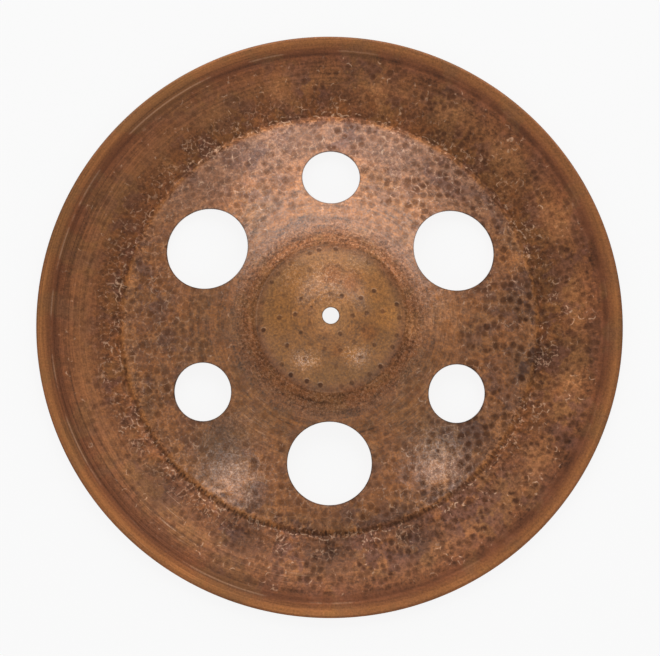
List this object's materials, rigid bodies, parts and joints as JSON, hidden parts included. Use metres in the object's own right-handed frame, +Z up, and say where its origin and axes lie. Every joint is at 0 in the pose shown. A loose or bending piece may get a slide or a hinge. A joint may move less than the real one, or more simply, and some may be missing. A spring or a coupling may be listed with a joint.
{
  "type": "china cymbal",
  "caption": "Hammered bronze china cymbal with a domed bell, an arched bow pierced by alternating large and small round holes, a sharp crease and an upturned flange.",
  "frame": {"origin": "centre of the ring that the cymbal stands on, under its crease, on the axis of the mounting hole", "axes": "+Z up through the bell, +Y towards the small hole shown uppermost, +X to the right of it"},
  "size_m": [0.4572, 0.4572, 0.042],
  "materials": {
    "bronze": "hand-hammered and lathed bronze with an aged brown patina, darker in the hammer marks, dull sheen, no polish"
  },
  "bodies": {
    "root": {"cymbal": "bronze"}
  },
  "joints": []
}
